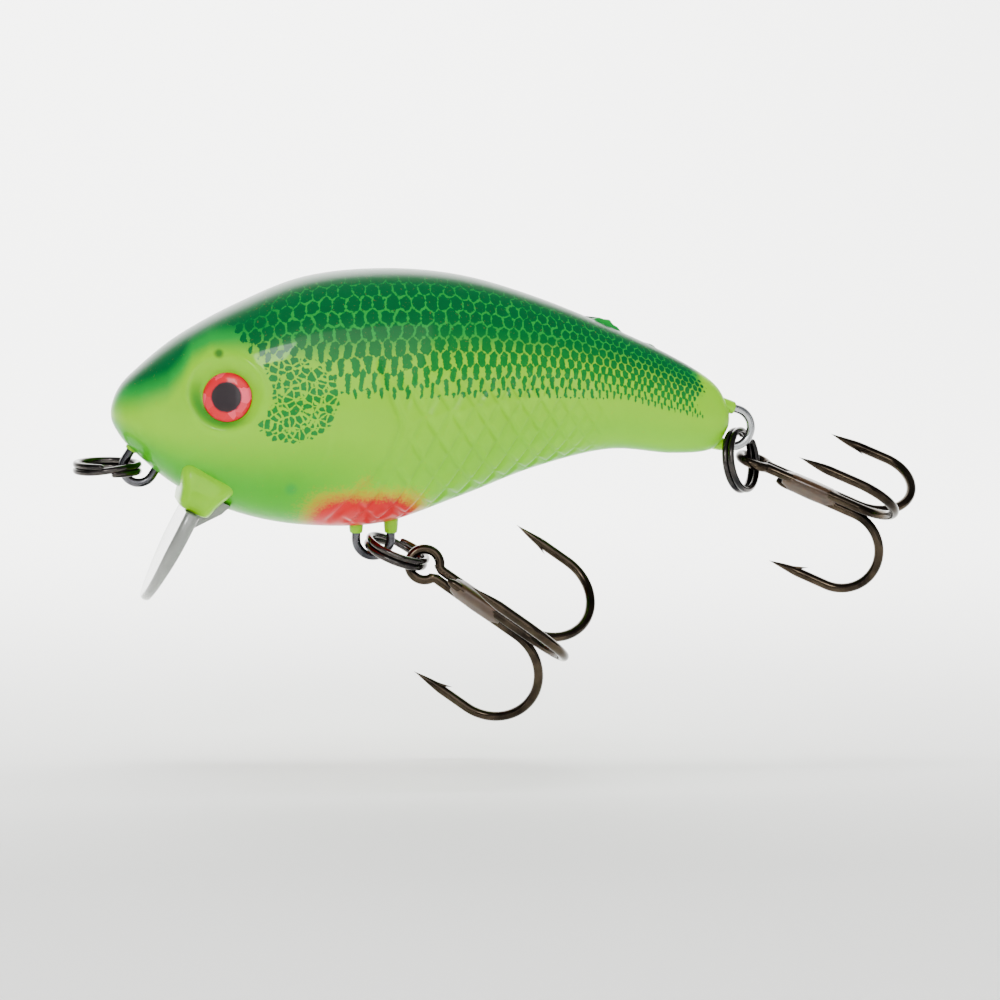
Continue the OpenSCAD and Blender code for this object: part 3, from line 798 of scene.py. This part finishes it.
def barb_blade(node, bend_r, at, place, material):
    """The barb of the arm that lies at a place on the hook."""
    path, radii = barb(bend_r)
    return swept_wire(node, moved(path, at), radii, BARB_R, material, place, sides=12)


def hook_double(name, node, material):
    """Eye and two arms of the same wire: the eye closes where the shanks come together."""
    place, bend_r = hook_place(name), HOOKS[name][3]
    pieces = []
    for side in (-1, 1):
        at = Matrix.Translation((0, 0, side * SHANK_OFFSET)) @ along_x(90 - side * 120)
        path, radii = hook_arm(1.6, bend_r)
        from_eye = [(1.05, 0, side * 0.80), (1.22, 0, side * 0.66)]
        pieces.append(swept_wire(node, np.vstack([from_eye, moved(path, at)]), [1, 1, *radii], HOOK_WIRE_R,
                                 material, place))
        pieces.append(barb_blade(node, bend_r, at, place, material))
    open_at = math.degrees(math.asin(EYE_GAP / HOOK_EYE_R))
    eye = arc((0, 0), HOOK_EYE_R, open_at, 360 - open_at, 64)
    pieces.append(swept_wire(node, eye, 1.0, HOOK_WIRE_R, material, place))
    return joined(node, pieces)


def hook_single(name, node, material):
    """Third arm, its cut end laid against the pair under the braze."""
    place, bend_r = hook_place(name), HOOKS[name][3]
    path, radii = hook_arm(2.62, bend_r)
    radii[:3] = [0.45, 0.8, 0.96]
    at = Matrix.Translation((0, -2 * SHANK_OFFSET * math.cos(math.radians(30)), 0)) @ along_x(90)
    arm = swept_wire(node, moved(path, at), radii, HOOK_WIRE_R, material, place)
    return joined(node, [arm, barb_blade(node, bend_r, at, place, material)])


def braze_run(name, node, material):
    """Braze drawn into the hollows between the three shanks, swelling and thinning along its run."""
    rows, columns = 40, 96
    points = []
    for i in range(rows):
        f = i / (rows - 1)
        swell = 0.25 + 0.75 * min(1.0, math.sin(math.pi * f) * 2.2) - 0.05 * math.sin(9 * f)
        for k in range(columns):
            a = 2 * math.pi * k / columns
            radius = 0.60 + swell * (0.30 + 0.10 * math.cos(3 * (a - math.pi / 2)))
            points.append((BRAZE_START + BRAZE_LENGTH * f, -BRAZE_DROP - radius * math.sin(a),
                           radius * math.cos(a)))
    piece = mesh_object(node, moved(points, hook_place(name)), skin(rows, columns), material)
    tidy(piece)
    return piece


def hanger(node, index, material):
    """A bent wire: round loop, two legs into the body and feet turned outwards."""
    place, angle, loop_r, _ = HANGERS[index]
    foot, leg = LEG_END + FOOT_BEND, np.linspace(LEG_END - 0.2, 0.2, 12)
    path = [(foot, 0, loop_r + FOOT_END), (foot, 0, loop_r + FOOT_BEND)]
    path += [*arc((LEG_END, loop_r + FOOT_BEND), FOOT_BEND, 0, -90, 8)]
    path += [(x, 0, loop_r) for x in leg]
    path += [*arc((0, 0), loop_r, 90, 270, 48)]
    path += [(x, 0, -loop_r) for x in leg[::-1]]
    path += [*arc((LEG_END, -loop_r - FOOT_BEND), FOOT_BEND, 90, 0, 8)]
    path += [(foot, 0, -loop_r - FOOT_BEND), (foot, 0, -loop_r - FOOT_END)]
    at = Matrix.Translation(Vector(place)) @ Matrix.Rotation(-math.radians(angle), 4, "Y")
    return swept_wire(node, np.array(path), 1.0, HANGER_WIRE_R, material, at)


# ---------------------------------------------------------------- lip and eyes

def lip_outline():
    """Round edge of the lip, then the straight chord at its root."""
    chord_half = math.sqrt(LIP_R ** 2 - (LIP_CENTRE - LIP_EDGE) ** 2)
    start = math.atan2(chord_half, LIP_EDGE - LIP_CENTRE)
    a = np.linspace(start, -start, LIP_COLUMNS - LIP_CHORD_COLUMNS)
    rim = np.column_stack([LIP_CENTRE + LIP_RIM_R * np.cos(a), LIP_RIM_R * np.sin(a)])
    y = np.linspace(-chord_half, chord_half, LIP_CHORD_COLUMNS + 2)[1:-1]
    return np.vstack([rim, np.column_stack([np.full(len(y), LIP_EDGE), y])])


def lip_plate(material):
    """Round lip with softened rims, its tang in the chin, and the web behind its root."""
    lip = lip_frame()
    outline, centre = lip_outline(), np.array([LIP_CENTRE, 0.0])
    thinning = -0.32 * smooth_step(3.0, 9.3, outline[:, 0])
    profile = LIP_RIM + [(shrink, -height) for shrink, height in reversed(LIP_RIM)]
    points = [np.column_stack([centre + (outline - centre) * shrink, height * (1 + thinning * shrink)])
              for shrink, height in profile]
    plate = mesh_object("diving_lip", moved(np.vstack(points), lip),
                        skin(len(profile), LIP_COLUMNS, capped=False), material)
    corners = [(x, y, z) for x in TANG[0] for y in TANG[1] for z in TANG[2]]
    box_faces = [(0, 1, 3, 2), (4, 6, 7, 5), (0, 4, 5, 1), (2, 3, 7, 6), (0, 2, 6, 4), (1, 5, 7, 3)]
    tang = mesh_object("tang", moved(corners, lip), box_faces, material, smooth=False)
    web_points = [(x, y, z) for y in (-WEB_HALF, WEB_HALF) for x, z in WEB_LINE]
    web = mesh_object("web", moved(web_points, lip), skin(2, len(WEB_LINE)), material, smooth=False)
    pieces = [plate, tang, web]
    for piece in pieces:
        tidy(piece)
    return joined("diving_lip", pieces)


def eye_disc(node, side, material):
    """Foil disc with a low lacquer dome and a rolled rim."""
    seat = Matrix.Translation(Vector(EYE_SEAT))
    seat = seat @ Matrix.Rotation(EYE_YAW, 4, "Z") @ Matrix.Rotation(EYE_LEAN, 4, "X")
    columns = 96
    profile = [(0.0, -0.9), (2.1, -0.9), (2.19, -0.85), (2.19, -0.42), (2.12, -0.36)]
    profile += [(2.12 * math.cos(a), -0.36 + 0.34 * math.sin(a)) for a in np.radians(np.linspace(12, 90, 12))]
    turn = np.linspace(0, 2 * math.pi, columns + 1)[:-1]
    rings = [np.stack([radius * np.cos(turn), radius * np.sin(turn), np.full(columns, height)], axis=1)
             for radius, height in profile]
    disc = mesh_object(node, moved(np.vstack(rings), seat) * [1, side, 1],
                       skin(len(rings), columns, capped=False), material)
    tidy(disc)
    return disc


# ---------------------------------------------------------------- stage

def plain_material(name, hex_colour, roughness):
    """A matt studio surface with a faint grain."""
    def build(tree, mm_vector):
        return {"Normal": grain(tree, mm_vector, 2.0, 0.05, 0.0001)}

    return surface(name, {"Base Color": linear(hex_colour), "Roughness": roughness}, build)


def backdrop(material):
    """A pale sweep: a floor that curves up into a wall behind the lure."""
    profile = [(-SWEEP_HALF, FLOOR_Z)]
    profile += [(CURVE_START + CURVE_R * math.sin(a), FLOOR_Z + CURVE_R * (1 - math.cos(a)))
                for a in np.radians(np.linspace(0, 90, 24))]
    profile.append((CURVE_START + CURVE_R, WALL_TOP))
    points = [(x, y, z) for y, z in profile for x in (-SWEEP_HALF, SWEEP_HALF)]
    faces = [(2 * i, 2 * i + 1, 2 * i + 3, 2 * i + 2) for i in range(len(profile) - 1)]
    return mesh_object("backdrop", points, faces, material)


def soft_light(name, place, target, size, power):
    """A square soft light in millimetres, pointed at its target."""
    light = bpy.data.lights.new(name, "AREA")
    light.size = size * MM
    light.energy = power
    lamp = bpy.data.objects.new(name, light)
    lamp.location = Vector(place) * MM
    lamp.rotation_euler = (Vector(target) - Vector(place)).to_track_quat("-Z", "Y").to_euler()
    bpy.context.scene.collection.objects.link(lamp)
    return lamp


# ---------------------------------------------------------------- settings

class LurePaint(bpy.types.PropertyGroup):
    """Colours and finish of the airbrushed body."""

    back_green: bpy.props.FloatVectorProperty(
        name="Back", description="Dark green of the back and of the scale cells", subtype="COLOR", size=3,
        min=0, max=1, default=linear("#00552A")[:3])
    side_green: bpy.props.FloatVectorProperty(
        name="Upper side", description="Brighter green between the back and the flank", subtype="COLOR",
        size=3, min=0, max=1, default=linear("#009634")[:3])
    flank: bpy.props.FloatVectorProperty(
        name="Flank", description="Chartreuse of the flank", subtype="COLOR", size=3,
        min=0, max=1, default=linear("#86CC00")[:3])
    belly_green: bpy.props.FloatVectorProperty(
        name="Belly", description="Light green of the chin and belly", subtype="COLOR", size=3,
        min=0, max=1, default=linear("#3CA808")[:3])
    belly_red: bpy.props.FloatVectorProperty(
        name="Belly flash", description="Red flash sprayed round the belly hanger", subtype="COLOR", size=3,
        min=0, max=1, default=linear("#C40412")[:3])
    base_roughness: bpy.props.FloatProperty(
        name="Base roughness", description="Roughness of the paint under the clear coat", min=0, max=1,
        default=0.34)


class LureStage(bpy.types.PropertyGroup):
    """Camera and lights."""

    azimuth: bpy.props.FloatProperty(
        name="Azimuth", description="Camera angle round the lure, 0 looks along +Y", subtype="ANGLE",
        default=math.radians(-9))
    elevation: bpy.props.FloatProperty(
        name="Elevation", description="Camera angle above the horizon", subtype="ANGLE",
        default=math.radians(4))
    roll: bpy.props.FloatProperty(
        name="Roll", description="Camera roll that levels the body in the frame", subtype="ANGLE",
        default=math.radians(0.6))
    distance: bpy.props.FloatProperty(
        name="Distance", description="From the camera to the middle of the lure", subtype="DISTANCE",
        unit="LENGTH", min=0.1, default=0.256)
    key_power: bpy.props.FloatProperty(
        name="Key power", description="Power of the soft key light, in watts", min=0, default=0.27)


# ---------------------------------------------------------------- operators

class LureOperator(bpy.types.Operator):
    """Shared ending of every step: where a piece rides and what it replaces; the slot it is handed is not
    used.
    """

    bl_options = {"REGISTER", "UNDO"}

    def fit(self, piece, body, slot, *nodes):
        """Hand a finished piece to the frame."""
        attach(piece, body)
        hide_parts(*nodes)


class LURE_OT_shells(LureOperator):
    """Build the two painted half shells with their relief"""
    bl_idname = "lure.shells"
    bl_label = "Painted shells"

    def execute(self, context):
        paint = clear_coated_paint()
        for node, side in [("left_shell", -1), ("right_shell", 1)]:
            self.fit(shell_half(node + "_painted", side, paint), "lure_body", "painted_shell", node)
        extras = [chin_boss(paint), *collars(paint)]
        for piece in extras:
            paint_plain(piece, tuple(context.scene.lure_paint.flank))
        boss = joined("chin_boss_and_collars", extras)
        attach(boss, "lure_body")
        return {"FINISHED"}


class LURE_OT_eyes(LureOperator):
    """Set the foil eyes into their sockets"""
    bl_idname = "lure.eyes"
    bl_label = "Foil eyes"

    def execute(self, context):
        for node, side in [("left_eye", -1), ("right_eye", 1)]:
            self.fit(eye_disc(node + "_foil", side, foil_eye(side)), "lure_body", "foil_eye", node)
        return {"FINISHED"}


class LURE_OT_lip(LureOperator):
    """Build the clear diving lip"""
    bl_idname = "lure.lip"
    bl_label = "Diving lip"

    def execute(self, context):
        self.fit(lip_plate(smoky_polycarbonate()), "lure_body", "clear_lip", "diving_lip")
        return {"FINISHED"}


class LURE_OT_hangers(LureOperator):
    """Bend the three wire hangers"""
    bl_idname = "lure.hangers"
    bl_label = "Wire hangers"

    def execute(self, context):
        steel = drawn_wire("bright hanger wire", "#C9CBCD", "#8B8D90", 0.2, 0.2)
        # The line tie and belly hanger get a darker copy of the hanger wire, which is painted shade for the
        # wires under the chin and belly; the tail hanger keeps the bright copy.
        dark = drawn_wire("hanger wire with painted shade", "#66666A", "#333337", 0.22, 0.18)
        for index, (node, material) in enumerate([("line_tie_wire", dark), ("belly_hanger_wire", dark),
                                                  ("tail_hanger_wire", steel)]):
            self.fit(hanger(node + "_bent", index, material), "lure_body", "hanger_wire", node)
        return {"FINISHED"}


class LURE_OT_rings(LureOperator):
    """Wind the three split rings"""
    bl_idname = "lure.rings"
    bl_label = "Split rings"

    def execute(self, context):
        nickel = drawn_wire("black nickel ring", "#57534F", "#1E1D20", 0.16, 0.22)
        for node, (body, *_) in RINGS.items():
            piece = split_ring(node, nickel)
            piece.name = node + "_wound"
            self.fit(piece, body, "split_ring_steel", node)
        return {"FINISHED"}


class LURE_OT_hooks(LureOperator):
    """Form the treble hooks and their braze"""
    bl_idname = "lure.hooks"
    bl_label = "Treble hooks"

    def execute(self, context):
        bronze = drawn_wire("black nickel hook", "#4A4034", "#1A1613", 0.15, 0.22)
        brown = lacquered_braze()
        for hook in HOOKS:
            double = hook_double(hook, hook + "_double", bronze)
            single = hook_single(hook, hook + "_single", bronze)
            braze = braze_run(hook, hook + "_braze", brown)
            for piece, part, slot in [(double, "_double", "black_nickel_hook"),
                                      (single, "_single", "black_nickel_hook"), (braze, "_braze", "braze")]:
                piece.name = hook + part + "_formed"
                self.fit(piece, hook, slot, hook + part)
        return {"FINISHED"}


class LURE_OT_inside(LureOperator):
    """Finish the ballast and the rattle balls"""
    bl_idname = "lure.inside"
    bl_label = "Ballast and rattles"

    def execute(self, context):
        lead = drawn_wire("cast ballast", "#8A8D92", "#55585D", 0.5, 0.25)
        ball = drawn_wire("rattle ball steel", "#D0D2D4", "#9C9FA3", 0.14, 0.3)
        for node, material in [("ballast_weight", lead), ("front_rattle_ball", ball),
                               ("rear_rattle_ball", ball)]:
            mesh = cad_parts[node].data
            mesh.materials.clear()
            mesh.materials.append(material)
        return {"FINISHED"}


class LURE_OT_stage(LureOperator):
    """Set the backdrop, the lights and the camera"""
    bl_idname = "lure.stage"
    bl_label = "Stage"

    def execute(self, context):
        look = context.scene.lure_stage
        sweep = backdrop(plain_material("pale sweep", "#FBFBF9", 0.9))
        power = look.key_power
        lights = [soft_light("key", (-70, -260, 150), (20, 0, 5), 60, power),
                  soft_light("front", (40, -360, 130), (28, 0, 0), 260, power * 2.2),
                  soft_light("nose fill", (-260, -250, 40), (25, 0, 0), 200, power * 0.5),
                  soft_light("tail fill", (330, -220, 40), (35, 0, 0), 200, power * 0.4),
                  soft_light("back wash", (30, 150, 520), (30, 560, 370), 600, power * 80),
                  soft_light("floor wash", (30, -40, 620), (30, 60, -27), 300, power * 6)]
        for unseen in lights[-2:]:
            unseen.visible_glossy = False
        world = bpy.data.worlds.new("pale room")
        world.use_nodes = True
        world.node_tree.nodes["Background"].inputs["Color"].default_value = linear("#F2F4F5")
        world.node_tree.nodes["Background"].inputs["Strength"].default_value = 0.3
        context.scene.world = world
        camera = bpy.data.cameras.new("camera")
        camera.lens = 100
        camera.clip_start = 0.01
        eye = bpy.data.objects.new("camera", camera)
        target = Vector((33.05, 0, -2.98)) * MM
        back = Vector((math.sin(look.azimuth) * math.cos(look.elevation),
                       -math.cos(look.azimuth) * math.cos(look.elevation), math.sin(look.elevation)))
        eye.location = target + back * look.distance
        level = (-back).to_track_quat("-Z", "Y").to_matrix().to_4x4()
        eye.rotation_euler = (level @ Matrix.Rotation(look.roll, 4, "Z")).to_euler()
        context.scene.collection.objects.link(eye)
        context.scene.camera = eye
        return {"FINISHED"}


class LURE_PT_panel(bpy.types.Panel):
    """Settings and steps of the lure"""
    bl_idname = "LURE_PT_panel"
    bl_label = "Crankbait Lure"
    bl_space_type = "VIEW_3D"
    bl_region_type = "UI"
    bl_category = "Lure"

    def draw(self, context):
        scene = context.scene
        for group_of, settings in [(scene.lure_paint, LurePaint), (scene.lure_stage, LureStage)]:
            box = self.layout.box()
            for name in settings.__annotations__:
                box.prop(group_of, name)
        for step in STEPS:
            self.layout.operator(step.bl_idname)


STEPS = (LURE_OT_shells, LURE_OT_eyes, LURE_OT_lip, LURE_OT_hangers, LURE_OT_rings, LURE_OT_hooks,
         LURE_OT_inside, LURE_OT_stage)
CLASSES = (LurePaint, LureStage, *STEPS, LURE_PT_panel)


def register():
    """Make the settings, the steps and the panel known to Blender."""
    for made in CLASSES:
        bpy.utils.register_class(made)
    bpy.types.Scene.lure_paint = bpy.props.PointerProperty(type=LurePaint)
    bpy.types.Scene.lure_stage = bpy.props.PointerProperty(type=LureStage)


def unregister():
    """Take them away again."""
    del bpy.types.Scene.lure_stage
    del bpy.types.Scene.lure_paint
    for made in reversed(CLASSES):
        bpy.utils.unregister_class(made)


def main():
    """Register the steps and build every piece in order."""
    register()
    for step in STEPS:
        name = step.bl_idname.removeprefix("lure.")
        if getattr(bpy.ops.lure, name)() != {"FINISHED"}:
            raise RuntimeError(name + " did not finish")


if __name__ == "__main__":
    main()
